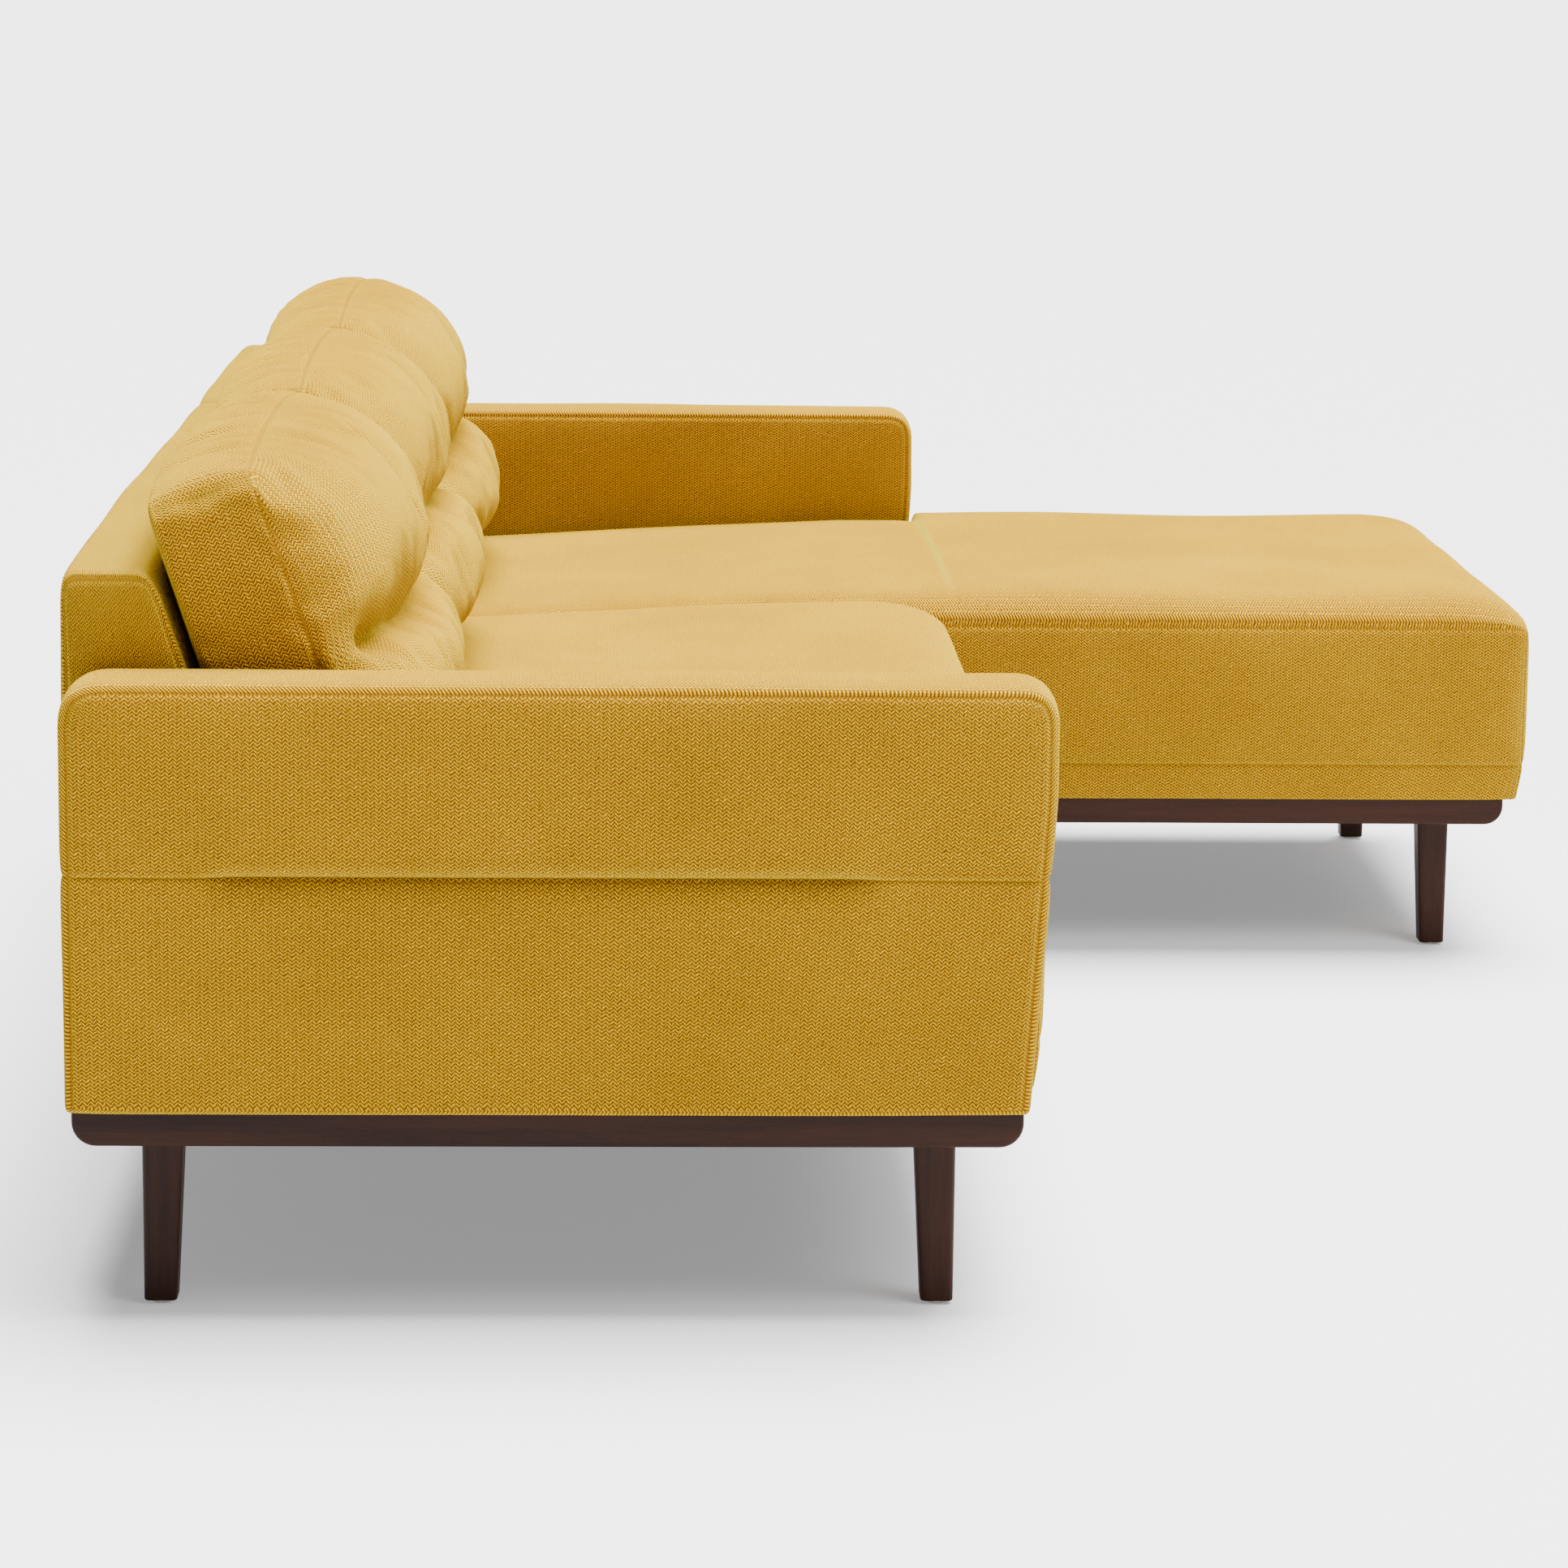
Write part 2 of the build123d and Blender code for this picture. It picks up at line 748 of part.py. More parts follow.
middle_seam = sofa.inner_low + cushion_pitch
back_cushion("cushion_left", sofa.inner_low + cushion_side_gap, middle_seam - cushion_side_gap)
back_cushion("cushion_middle", middle_seam + cushion_side_gap, sofa.inner_high)
back_cushion("cushion_chaise", chaise.inner_low, chaise.inner_high - cushion_side_gap)
connectors()
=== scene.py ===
# Corner sofa: mustard woven covers, loose back cushions, dark wood plinth and legs.
import json
from math import cos, pi, radians, sin

import bpy
import numpy as np
from mathutils import Matrix, Vector


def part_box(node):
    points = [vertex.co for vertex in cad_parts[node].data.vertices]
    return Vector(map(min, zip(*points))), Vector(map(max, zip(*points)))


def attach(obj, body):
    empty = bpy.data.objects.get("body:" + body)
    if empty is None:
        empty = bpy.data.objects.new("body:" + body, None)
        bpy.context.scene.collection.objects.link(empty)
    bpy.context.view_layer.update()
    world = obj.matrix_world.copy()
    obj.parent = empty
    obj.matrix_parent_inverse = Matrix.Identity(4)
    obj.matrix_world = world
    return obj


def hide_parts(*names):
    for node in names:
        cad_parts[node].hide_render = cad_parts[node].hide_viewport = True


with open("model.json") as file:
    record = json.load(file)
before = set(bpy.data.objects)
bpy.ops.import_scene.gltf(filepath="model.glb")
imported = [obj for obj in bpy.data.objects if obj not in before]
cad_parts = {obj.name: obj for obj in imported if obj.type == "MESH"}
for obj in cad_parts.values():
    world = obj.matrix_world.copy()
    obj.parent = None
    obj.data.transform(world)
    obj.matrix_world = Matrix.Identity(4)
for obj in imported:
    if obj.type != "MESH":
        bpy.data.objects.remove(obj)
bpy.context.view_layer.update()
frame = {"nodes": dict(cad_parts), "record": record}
nodes = frame["nodes"]
print("frame loaded:", len(nodes), "nodes")

scene = bpy.context.scene


def spacedPoints(anchors, step, fine=(0.0025, 0.006)):
    # places along an edge: every anchor, two close neighbours of each, and even steps in between
    places = [anchors[0]]
    for low, high in zip(anchors, anchors[1:]):
        near = [low + gap for gap in fine if gap < (high - low) / 3]
        far = [high - gap for gap in reversed(fine) if gap < (high - low) / 3]
        start, end = (near or [low])[-1], (far or [high])[0]
        count = max(1, round((end - start) / step))
        inner = list(np.linspace(start, end, count + 1))
        places += near[:-1] + [place for place in inner if low < place < high] + far[1:] + [high]
    return np.unique(np.round(places, 6))


def boxGrid(xs, ys, zs):
    # the surface of a box as one closed grid: six faces of grid squares that share their border points;
    # returns the points, the squares (outward), and the axis that each square faces
    nx, ny, nz = len(xs), len(ys), len(zs)
    squares, axes = [], []
    for axis, (nu, nv) in enumerate(((ny, nz), (nx, nz), (nx, ny))):
        u, v = np.meshgrid(np.arange(nu - 1), np.arange(nv - 1), indexing="ij")
        u, v = u.ravel(), v.ravel()
        for end in (0, 1):
            corners = [(u, v), (u, v + 1), (u + 1, v + 1), (u + 1, v)]
            if (end == 1) != (axis == 1):
                corners.reverse()
            fixed = np.full_like(u, end * ((nx, ny, nz)[axis] - 1))
            keys = []
            for a, b in corners:
                i, j, k = ((fixed, a, b), (a, fixed, b), (a, b, fixed))[axis]
                keys.append(i + nx * (j + ny * k))
            squares.append(np.stack(keys, 1))
            axes.append(np.full(len(u), axis))
    squares = np.concatenate(squares)
    used, inverse = np.unique(squares.ravel(), return_inverse=True)
    points = np.stack([xs[used % nx], ys[(used // nx) % ny], zs[used // (nx * ny)]], 1)
    return points, inverse.reshape(-1, 4), np.concatenate(axes)


def pointNormals(points, squares):
    # each point's normal: the sum of the cross products of the diagonals of the squares round it
    a, b, c, d = (points[squares[:, corner]] for corner in range(4))
    cross = np.cross(c - a, d - b)
    total = np.zeros_like(points)
    for corner in range(4):
        np.add.at(total, squares[:, corner], cross)
    return total / np.maximum(np.linalg.norm(total, axis=1, keepdims=True), 1e-12)


def roundOutline(p, q, halfP, halfQ, radius, inset):
    # moves points of a rectangle, halfP by halfQ, into the same one with round corners, moved in by inset:
    # in a corner square, the distance from the arc's centre becomes the larger of the two offsets
    p1, q1 = p * (halfP - inset) / halfP, q * (halfQ - inset) / halfQ
    r = np.maximum(radius - inset, 0.0005)
    dp, dq = np.abs(p1) - (halfP - inset - r), np.abs(q1) - (halfQ - inset - r)
    corner = (dp > 0) & (dq > 0)
    shrink = np.where(corner, np.maximum(dp, dq) / np.maximum(np.hypot(dp, dq), 1e-9), 1.0)
    p2 = np.where(corner, np.sign(p1) * (halfP - inset - r + dp * shrink), p1)
    q2 = np.where(corner, np.sign(q1) * (halfQ - inset - r + dq * shrink), q1)
    return p2, q2


def edgeInset(t, half, radius):
    # how far a round edge has come in at a distance t from the middle: r - sqrt(r^2 - s^2)
    s = np.clip(np.abs(t) - (half - radius), 0, radius)
    return radius - np.sqrt(np.maximum(radius**2 - s**2, 0))


def ripple(points, seed, length, height):
    # slow unevenness: a sum of six sine waves in seeded directions, about one length long
    rng = np.random.default_rng(seed)
    total = np.zeros(len(points))
    for _ in range(6):
        direction = rng.normal(size=3)
        direction *= 2 * pi / (length * rng.uniform(0.7, 1.5)) / np.linalg.norm(direction)
        total += np.sin(points @ direction + rng.uniform(0, 2 * pi))
    return height * total / 2.5


evenEdge = 0.02  # metres from a seam over which the unevenness grows
footGap = 0.0005  # metres between a cover's foot and the plinth
borderTolerance = 1e-4  # metres within which a point counts as on a face


def upholster(points, squares, seamDistance, style):
    # padding swells between the seams and each seam is drawn in, along the normal:
    # swell * (1 - exp(-d / reach)) - groove * exp(-(d / width)^2), d being the distance to the nearest seam
    swell = style["swell"] * (1 - np.exp(-seamDistance / style["reach"]))
    groove = style["groove"] * np.exp(-((seamDistance / style["width"]) ** 2))
    uneven = ripple(points, style["seed"], style["rippleLength"], style["rippleHeight"])
    uneven *= 1 - np.exp(-seamDistance / evenEdge)
    return points + pointNormals(points, squares) * (swell - groove + uneven)[:, None]


def smooth(value):
    # eases from 0 to 1: t^2 (3 - 2 t)
    t = np.clip(value, 0, 1)
    return t * t * (3 - 2 * t)


def makeMesh(name, points, squares, axes, flat, seamDistance, levels=1, frontMap=None):
    # a mesh from whole arrays, with a map in metres taken from the flat panels, and the seams as an attribute;
    # frontMap holds other flat places for the panels that face front and rear
    mesh = bpy.data.meshes.new(name)
    mesh.vertices.add(len(points))
    mesh.vertices.foreach_set("co", points.astype(np.float32).ravel())
    mesh.loops.add(squares.size)
    mesh.loops.foreach_set("vertex_index", squares.astype(np.int32).ravel())
    mesh.polygons.add(len(squares))
    mesh.polygons.foreach_set("loop_start", np.arange(0, squares.size, 4, dtype=np.int32))
    mesh.update(calc_edges=True)
    mesh.shade_smooth()
    pairs = np.array(((1, 2), (0, 2), (0, 1)))[axes]
    corner = flat[squares]
    if frontMap is not None:
        corner = np.where((axes == 1)[:, None, None], frontMap[squares], corner)
    uv = np.stack([np.take_along_axis(corner, pairs[:, None, None, side].repeat(4, 1), 2)[..., 0]
                   for side in (0, 1)], -1)
    mesh.uv_layers.new(name="panels").data.foreach_set("uv", uv.astype(np.float32).ravel())
    seam = mesh.attributes.new("seamGap", "FLOAT", "POINT")
    seam.data.foreach_set("value", np.minimum(seamDistance, 1.0).astype(np.float32))
    piece = bpy.data.objects.new(name, mesh)
    scene.collection.objects.link(piece)
    if levels:
        finish = piece.modifiers.new("smooth cover", "SUBSURF")
        finish.levels = finish.render_levels = levels
    return piece


def cadBox(*names):
    # the lowest and the highest corner that these CAD nodes reach together
    lows, highs = zip(*(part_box(name) for name in names))
    return np.min(lows, axis=0), np.max(highs, axis=0)


class Nodes:
    # short words for building one material's node tree

    def __init__(self, name):
        self.material = bpy.data.materials.new(name)
        self.material.use_nodes = True
        self.tree = self.material.node_tree
        self.shader = self.tree.nodes["Principled BSDF"]

    def add(self, kind, **settings):
        node = self.tree.nodes.new(kind)
        for key, value in settings.items():
            setattr(node, key, value)
        return node

    def link(self, source, target):
        self.tree.links.new(source, target)

    def math(self, operation, a, b=None, c=None):
        node = self.add("ShaderNodeMath", operation=operation)
        for socket, value in zip(node.inputs, (a, b, c)):
            if value is None:
                continue
            if isinstance(value, (int, float)):
                socket.default_value = value
            else:
                self.link(value, socket)
        return node.outputs[0]

    def mapRange(self, value, low, high, atLow, atHigh):
        node = self.add("ShaderNodeMapRange", interpolation_type="SMOOTHSTEP")
        self.link(value, node.inputs[0])
        for socket, number in zip(list(node.inputs)[1:5], (low, high, atLow, atHigh)):
            socket.default_value = number
        return node.outputs[0]

    def noise(self, vector, scale, detail=3.0, roughness=0.5):
        node = self.add("ShaderNodeTexNoise")
        self.link(vector, node.inputs["Vector"])
        node.inputs["Scale"].default_value = scale
        node.inputs["Detail"].default_value = detail
        node.inputs["Roughness"].default_value = roughness
        return node.outputs["Fac"]

    def ramp(self, value, *stops):
        node = self.add("ShaderNodeValToRGB")
        elements = node.color_ramp.elements
        while len(elements) < len(stops):
            elements.new(0.5)
        for element, (place, colour) in zip(elements, stops):
            element.position = place
            element.color = (*colour, 1)
        self.link(value, node.inputs[0])
        return node.outputs[0]

    def mix(self, blend, factor, a, b):
        node = self.add("ShaderNodeMix", data_type="RGBA", blend_type=blend)
        for socket, value in ((node.inputs[0], factor), (node.inputs[6], a), (node.inputs[7], b)):
            if isinstance(value, (int, float)):
                socket.default_value = value
            elif isinstance(value, tuple):
                socket.default_value = (*value, 1)
            else:
                self.link(value, socket)
        return node.outputs[2]

    def bump(self, height, distance, strength=1.0):
        node = self.add("ShaderNodeBump")
        node.inputs["Strength"].default_value = strength
        node.inputs["Distance"].default_value = distance
        self.link(height, node.inputs["Height"])
        return node.outputs[0]

    def place(self, scale=(1, 1, 1)):
        coordinates = self.add("ShaderNodeTexCoord")
        mapping = self.add("ShaderNodeMapping")
        mapping.inputs["Scale"].default_value = scale
        self.link(coordinates.outputs["Object"], mapping.inputs["Vector"])
        return mapping.outputs[0]

    def shade(self, colour, roughness, normal=None, **sockets):
        for name, value in (("Base Color", colour), ("Roughness", roughness)):
            if isinstance(value, (int, float)):
                self.shader.inputs[name].default_value = value
            elif isinstance(value, tuple):
                self.shader.inputs[name].default_value = (*value, 1)
            else:
                self.link(value, self.shader.inputs[name])
        if normal is not None:
            self.link(normal, self.shader.inputs["Normal"])
        for name, value in sockets.items():
            self.shader.inputs[name.replace("_", " ")].default_value = value
        return self.material


weave = {
    "threadPitch": 0.0036,  # metres between ribs
    "columnRibs": 1.0,  # ribs across one herringbone column
    "slubSway": (0.5, 0.7),  # how far uneven yarn shifts the pattern, in ribs
    "shadow": (0.11, 0.035, 0.001),
    "body": (0.35, 0.152, 0.003),
    "crest": (0.64, 0.36, 0.0),
    # painted shade for the seams: this colour, at this strength, darkens the cloth along each seam's groove
    "paintedSeamShade": (0.20, 0.075, 0.0),
    "paintedSeamShadeStrength": 0.55,
    "napShade": (0.84, 0.80, 0.70),
    "reliefDepth": 0.0016,
    "roughness": 0.86,
    "sheen": 0.42,
    "sheenRoughness": 0.42,
    "sheenTint": (1.0, 0.90, 0.06, 1),
}


def weaveMaterial(name):
    # herringbone: ribs run up one column and down the next, sin(2 pi (v + zigzag(u))),
    # with a furrow between columns
    n = Nodes(name)
    uv = n.add("ShaderNodeUVMap", uv_map="panels")
    split = n.add("ShaderNodeSeparateXYZ")
    n.link(uv.outputs[0], split.inputs[0])
    place = n.place()
    slub = n.noise(place, 260, 2.0)
    u, v = (
        n.math("ADD", n.math("DIVIDE", along, weave["threadPitch"]), n.math("MULTIPLY", slub, sway))
        for along, sway in zip(split.outputs, weave["slubSway"])
    )
    zigzag = n.math("PINGPONG", u, weave["columnRibs"])
    rib = n.math("SINE", n.math("MULTIPLY", n.math("ADD", v, zigzag), 2 * pi))
    rib = n.math("MULTIPLY_ADD", rib, 0.5, 0.5)
    furrow = n.math("ABSOLUTE", n.math("SINE", n.math("MULTIPLY", u, pi / weave["columnRibs"])))
    furrow = n.math("POWER", furrow, 0.35)
    height = n.math("MULTIPLY", n.math("POWER", rib, 0.75), n.math("MULTIPLY_ADD", furrow, 0.7, 0.3))
    fibre = n.noise(place, 1500, 3.0, 0.7)
    tone = n.math("ADD", height, n.math("MULTIPLY_ADD", fibre, 0.5, -0.25))
    colour = n.ramp(tone, (0.06, weave["shadow"]), (0.46, weave["body"]), (1.0, weave["crest"]))
    # the nap lies in slow patches, some brushed paler than others
    nap = n.noise(place, 6, 5.0, 0.6)
    colour = n.mix("MULTIPLY", 1.0, colour, n.ramp(nap, (0.32, weave["napShade"]), (0.68, (1.0, 1.0, 1.0))))
    # a sewn seam: a thin line of painted shade along its groove, which also sinks the relief, with the turned
    # edges raised beside it
    gap = n.add("ShaderNodeAttribute", attribute_name="seamGap").outputs["Fac"]
    grooveAndShade = n.mapRange(gap, 0.0004, 0.0013, weave["paintedSeamShadeStrength"], 0.0)
    ridgeStart = n.mapRange(gap, 0.0012, 0.0026, 0.0, 1.0)
    ridge = n.math("MULTIPLY", ridgeStart, n.mapRange(gap, 0.0045, 0.0065, 1.0, 0.0))
    colour = n.mix("MIX", grooveAndShade, colour, weave["paintedSeamShade"])
    height = n.math("ADD", height, n.math("MULTIPLY_ADD", ridge, 0.5, n.math("MULTIPLY", grooveAndShade, -1.2)))
    relief = n.bump(n.math("ADD", height, n.math("MULTIPLY", fibre, 0.35)), weave["reliefDepth"])
    n.shader.inputs["Sheen Tint"].default_value = weave["sheenTint"]
    return n.shade(colour, weave["roughness"], relief, Sheen_Weight=weave["sheen"],
                   Sheen_Roughness=weave["sheenRoughness"], Specular_IOR_Level=0.01)


wood = {
    "dark": (0.006, 0.0019, 0.0010),
    "light": (0.031, 0.0092, 0.0038),
    "grainPitch": 95,
    "roughness": 0.48,
    "coat": 0.02,
    "coatRoughness": 0.28,
    "specular": 0.10,
}


def woodMaterial(name, along, dark, light, roughness, coat):
    # grain: noise drawn out along one axis, with finer pores of the same kind on top
    n = Nodes(name)
    stretch = tuple(0.045 if axis == along else 1.0 for axis in range(3))
    place = n.place(stretch)
    figure = n.noise(place, wood["grainPitch"] * 0.4, 4.0, 0.6)
    pores = n.noise(place, wood["grainPitch"] * 7, 3.0, 0.7)
    tone = n.math("MULTIPLY_ADD", pores, 0.35, n.math("MULTIPLY", figure, 0.75))
    colour = n.ramp(tone, (0.34, dark), (0.72, light))
    gloss = n.math("MULTIPLY_ADD", pores, 0.22, roughness - 0.08)
    return n.shade(colour, gloss, n.bump(pores, 0.0004, 0.5), Coat_Weight=coat,
                   Coat_Roughness=wood["coatRoughness"], Specular_IOR_Level=wood["specular"])


def speckledMaterial(name, colour, roughness, grain, depth, metallic=0.0):
    # plain stock: a fine mottle in tone, gloss and relief
    n = Nodes(name)
    mottle = n.noise(n.place(), grain, 4.0, 0.6)
    darker = tuple(0.72 * part for part in colour)
    shade = n.ramp(mottle, (0.3, darker), (0.7, colour))
    gloss = n.math("MULTIPLY_ADD", mottle, 0.2, roughness - 0.1)
    return n.shade(shade, gloss, n.bump(mottle, depth), Metallic=metallic)


def clothMaterial(name, colour, pitch):
    # plain cloth inside the sofa: two crossing sets of threads
    n = Nodes(name)
    place = n.place()
    split = n.add("ShaderNodeSeparateXYZ")
    n.link(place, split.inputs[0])
    total = None
    for axis in range(3):
        thread = n.math("SINE", n.math("MULTIPLY", split.outputs[axis], 2 * pi / pitch))
        total = thread if total is None else n.math("ADD", total, thread)
    threads = n.math("MULTIPLY_ADD", total, 0.17, 0.5)
    darker = tuple(0.6 * part for part in colour)
    shade = n.ramp(threads, (0.2, darker), (0.8, colour))
    return n.shade(shade, 0.9, n.bump(threads, 0.0003), Sheen_Weight=0.2)


mustard = weaveMaterial("mustard_weave")
darkWood = [
    woodMaterial(f"dark_wood_{'xyz'[axis]}", axis, wood["dark"], wood["light"], wood["roughness"], wood["coat"])
    for axis in range(3)
]
timber = woodMaterial("frame_timber", 0, (0.40, 0.25, 0.12), (0.66, 0.47, 0.27), 0.6, 0.0)
steel = speckledMaterial("zinc_steel", (0.55, 0.55, 0.56), 0.35, 300, 0.0001, 1.0)
slotMaterials = {
    "steel": steel,
    "spring_steel": speckledMaterial("spring_steel", (0.12, 0.12, 0.13), 0.4, 300, 0.0001, 1.0),
    "glide_plastic": speckledMaterial("glide_nylon", (0.72, 0.69, 0.62), 0.5, 500, 0.0002),
    "clip_plastic": speckledMaterial("clip_plastic", (0.02, 0.02, 0.02), 0.5, 500, 0.0002),
    "frame_timber": timber,
    "felt": speckledMaterial("deck_felt", (0.30, 0.28, 0.25), 0.95, 700, 0.0006),
    "lining": clothMaterial("black_lining", (0.02, 0.02, 0.02), 0.0022),
    "webbing": clothMaterial("elastic_webbing", (0.20, 0.13, 0.08), 0.0035),
    "filling": speckledMaterial("fibre_filling", (0.85, 0.84, 0.80), 0.95, 200, 0.002),
    "upholstery": mustard,
    "cushion_fabric": mustard,
}


def grainAxis(node):
    # the grain runs along the longest side
    low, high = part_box(node)
    return int(np.argmax(np.array(high) - np.array(low)))


for row in frame["record"]["subparts"]:
    node, slotName = row["node"], row["material_slot"]
    material = darkWood[grainAxis(node)] if slotName == "dark_wood" else slotMaterials[slotName]
    shown = nodes[node]
    shown.data.materials.clear()
    shown.data.materials.append(material)
print("materials ready")


# every new cover wears the weave, rides on its body and stands for the solids that it hides
def dress(piece, body, slotName, fill, *replaced):
    piece.data.materials.append(mustard)
    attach(piece, body)
    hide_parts(*replaced)


arm = {
    "step": 0.011,
    "acrossStep": 0.012,
    "pad": 0.004,  # room left for the swelling
    "fill": 0.85,
    "edgeRadius": 0.008,
    "frontRadius": 0.030,
    "rearRadius": 0.034,
    "footRadius": 0.006,
    "footTuck": 0.018,
    "tuckSpan": (0.15, 0.82),  # shares of the depth between which the side seam is drawn in deep
    "tuckEase": 0.05,
    "tuckDepth": 0.007,
    "tuckWidth": 0.007,
    "lip": 0.006,  # height over which the upper panel comes out
    "overhangFade": 0.05,
    "waist": 0.483,
    "seamHeight": 0.410,
    "overhang": 0.009,
    "style": {"swell": 0.004, "reach": 0.030, "groove": 0.0013, "width": 0.0026, "rippleLength": 0.23,
              "rippleHeight": 0.0012},
}


def makeArm(module, outward, seed):
    # a slab on edge: its outline has round top corners, its rim is round, and its front foot leans back
    low, high = cadBox(f"{module}_arm_padding")
    pad = arm["pad"]
    low, high = low + (pad, pad, 0), high - (pad, pad, pad)
    centre, half = (low + high) / 2, (high - low) / 2
    xs = spacedPoints([low[0], high[0]], arm["acrossStep"])
    ys = spacedPoints([low[1], high[1]], arm["step"])
    zs = spacedPoints([low[2], arm["seamHeight"], high[2]], arm["step"])
    flat, squares, axes = boxGrid(xs, ys, zs)
    p, q, t = flat[:, 1] - centre[1], flat[:, 2] - centre[2], flat[:, 0] - centre[0]
    topGap = np.where(q > 0, half[2] - q, 1.0)  # no seam at the foot, where the cloth turns under
    rimDistance = half[0] - np.abs(t) + np.minimum(half[1] - np.abs(p), topGap)
    radius = np.where(q < 0, arm["footRadius"], np.where(p < 0, arm["frontRadius"], arm["rearRadius"]))
    inset = edgeInset(t, half[0], arm["edgeRadius"])
    p2, q2 = roundOutline(p, q, half[1], half[2], radius, inset)
    points = np.stack([flat[:, 0], p2 + centre[1], q2 + centre[2]], 1)
    # the side seam: the upper panel hangs over it, most of all in the middle
    onOuter = t * outward > half[0] - borderTolerance
    onEnd = np.abs(p) > half[1] - borderTolerance
    aboveSeam = flat[:, 2] - arm["seamHeight"]
    seamGap = np.abs(aboveSeam) + np.where(onOuter | onEnd, 0, 1.0)
    distance = np.minimum(rimDistance, seamGap)
    above = smooth(aboveSeam / arm["lip"])
    share = (half[1] - p) / (2 * half[1])  # 0 at the rear, 1 at the front
    rearEnd, frontEnd = arm["tuckSpan"]
    ease = arm["tuckEase"]
    deep = smooth((share - rearEnd) / ease + 0.5) * smooth((frontEnd - share) / ease + 0.5) * onOuter
    over = above * np.exp(-np.maximum(aboveSeam, 0) / arm["overhangFade"])
    pull = arm["tuckDepth"] * np.exp(-((aboveSeam / arm["tuckWidth"]) ** 2))
    points[:, 0] += outward * deep * (arm["overhang"] * over - pull)
    # the front's foot leans back
    lean = np.clip((arm["waist"] - flat[:, 2]) / (arm["waist"] - low[2]), 0, 1)
    front = smooth(-p / half[1])
    points[:, 1] += arm["footTuck"] * lean * front
    points = upholster(points, squares, distance, dict(arm["style"], seed=seed))
    points[:, 2] = np.maximum(points[:, 2], low[2] + footGap)
    piece = makeMesh(f"{module}_arm_cover", points, squares, axes, flat, distance)
    dress(piece, f"{module}_module", "upholstery", arm["fill"], f"{module}_arm_padding")


makeArm("sofa", -1, 11)
makeArm("chaise", 1, 12)
print("arms made")


back = {
    "step": 0.013,
    "pad": 0.004,
    "endPad": 0.002,
    "fill": 0.85,
    "edgeRadius": 0.009,
    "frontRadius": 0.026,
    "rearRadius": 0.024,
    "footRadius": 0.006,
    "lean": radians(19),
    "slopeFoot": 0.408,
    "seamHeight": 0.410,
    "style": {"swell": 0.005, "reach": 0.028, "groove": 0.0013, "width": 0.0026, "rippleLength": 0.3,
              "rippleHeight": 0.0014},
}


def makeBack(module, seed):
    # a wedge: a slab with round top corners whose front plane leans back above the seat
    low, high = cadBox(f"{module}_back_padding")
    pad, endPad = back["pad"], back["endPad"]
    low, high = low + (endPad, pad, 0), high - (endPad, pad, pad)
    centre, half = (low + high) / 2, (high - low) / 2
    xs = spacedPoints([low[0], high[0]], back["step"])
    ys = spacedPoints([low[1], high[1]], back["step"])
    zs = spacedPoints([low[2], back["seamHeight"], high[2]], back["step"])
    flat, squares, axes = boxGrid(xs, ys, zs)
    p, q, t = flat[:, 1] - centre[1], flat[:, 2] - centre[2], flat[:, 0] - centre[0]
    topGap = np.where(q > 0, half[2] - q, 1.0)
    distance = half[0] - np.abs(t) + np.minimum(half[1] - np.abs(p), topGap)
    onRear = p > half[1] - borderTolerance
    distance = np.minimum(distance, np.abs(flat[:, 2] - back["seamHeight"]) + np.where(onRear, 0, 1.0))
    radius = np.where(q < 0, back["footRadius"], np.where(p < 0, back["frontRadius"], back["rearRadius"]))
    p2, q2 = roundOutline(p, q, half[1], half[2], radius, edgeInset(t, half[0], back["edgeRadius"]))
    z = q2 + centre[2]
    wedge = np.maximum(z - back["slopeFoot"], 0) * np.tan(back["lean"])
    share = (half[1] - p2) / (2 * half[1])  # 0 at the rear, 1 at the front
    points = np.stack([flat[:, 0], p2 + centre[1] + share * wedge, z], 1)
    points = upholster(points, squares, distance, dict(back["style"], seed=seed))
    points[:, 2] = np.maximum(points[:, 2], low[2] + footGap)
    piece = makeMesh(f"{module}_back_cover", points, squares, axes, flat, distance)
    dress(piece, f"{module}_module", "upholstery", back["fill"], f"{module}_back_padding")


makeBack("sofa", 21)
makeBack("chaise", 22)
print("backs made")


seat = {
    "step": 0.013,
    "pad": 0.003,
    "sidePad": {"sofa": -0.002, "chaise": 0.003},
    "fill": 0.8,
    "cornerRadius": 0.016,
    "lowerSeam": 0.236,
    "upperSeam": 0.402,
    "nose": 0.105,
    "sideNose": 0.055,
    "armNose": 0.012,
    "rearShare": 0.4,  # how much of the crown is left at the rear edge
    "rearLift": 0.006,
    "rearRadius": 0.004,
    "armGap": (0.010, 0.003),  # metres in front of the arm where the wing's rear side starts and ends
    "armReach": 0.06,
    "bandTuck": 0.008,
    "footShare": {"sofa": 0.15, "chaise": 0.5},  # corner radius at the foot as a share of the one above
    "style": {"swell": 0.006, "reach": 0.030, "groove": 0.0013, "width": 0.0026, "rippleLength": 0.27,
              "rippleHeight": 0.0016},
}


def quarterRound(share):
    # rises like the quarter of a circle: sqrt(1 - (1 - s)^2)
    return np.sqrt(np.maximum(1 - (1 - np.clip(share, 0, 1)) ** 2, 0))


